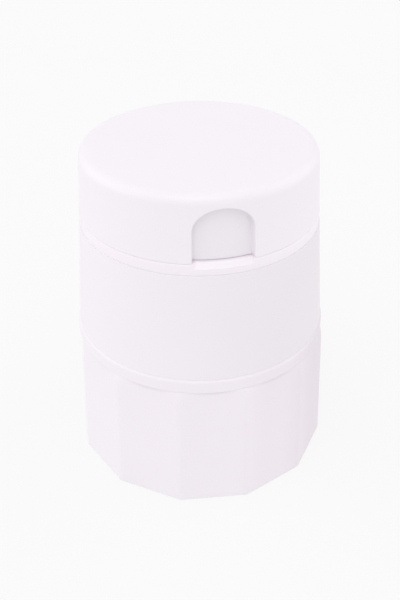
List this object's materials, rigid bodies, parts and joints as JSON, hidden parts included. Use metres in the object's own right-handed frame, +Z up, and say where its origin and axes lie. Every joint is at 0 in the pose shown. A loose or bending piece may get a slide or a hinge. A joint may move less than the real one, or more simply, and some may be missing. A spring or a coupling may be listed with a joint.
{
  "type": "pill crusher",
  "caption": "Round pill crusher: twist-down faceted grinding cup below, divided pill store in the middle, blade pill cutter under a flat hinged lid with an arched thumb recess.",
  "frame": {"origin": "centre of the cup's underside, on the surface that it stands on", "axes": "+Z up along the screw axis; the thumb recess faces -Y and the lid's hinge is at +Y"},
  "size_m": [0.0704, 0.0704, 0.09],
  "materials": {
    "white_abs": "white moulded ABS with a faint lavender cast, satin gloss",
    "frosted_plastic": "milky polypropylene, semi-gloss",
    "silicone": "pale soft silicone, matt",
    "stainless_steel": "stainless steel, brushed"
  },
  "bodies": {
    "base": {"base_cup": "white_abs", "grinding_plate": "stainless_steel"},
    "seal_ring": {"cup_seal": "silicone"},
    "upper_body": {"middle_shell": "white_abs", "screw_piston": "white_abs", "crushing_plate": "stainless_steel", "crushing_plate_screw": "stainless_steel", "piston_screw_1": "stainless_steel", "piston_screw_2": "stainless_steel", "piston_screw_3": "stainless_steel", "storage_divider": "frosted_plastic"},
    "tray": {"cutter_tray": "white_abs", "tray_seal": "silicone", "pill_grip_left": "silicone", "pill_grip_right": "silicone", "hinge_pin": "stainless_steel"},
    "lid": {"lid_shell": "white_abs", "blade_holder": "white_abs", "cutter_blade": "stainless_steel", "blade_screw_left": "stainless_steel", "blade_screw_right": "stainless_steel"}
  },
  "joints": [
    {"name": "crusher_lift", "type": "slide", "parent": "base", "child": "seal_ring", "axis": [0, 0, 1], "range_m": [0, 0.012]},
    {"name": "crusher_twist", "type": "hinge", "parent": "seal_ring", "child": "upper_body", "pos_m": [0, 0, 0.0404], "axis": [0, 0, 1], "range_deg": [0, 720]},
    {"name": "tray_lift", "type": "slide", "parent": "upper_body", "child": "tray", "axis": [0, 0, 1], "range_m": [0, 0.03]},
    {"name": "lid_hinge", "type": "hinge", "parent": "tray", "child": "lid", "pos_m": [0, 0.0331, 0.0731], "axis": [-1, 0, 0], "range_deg": [0, 115]}
  ],
  "couplings": [
    {"joint": "crusher_lift", "follows": "crusher_twist", "m_per_rad": 0.00095492}
  ]
}
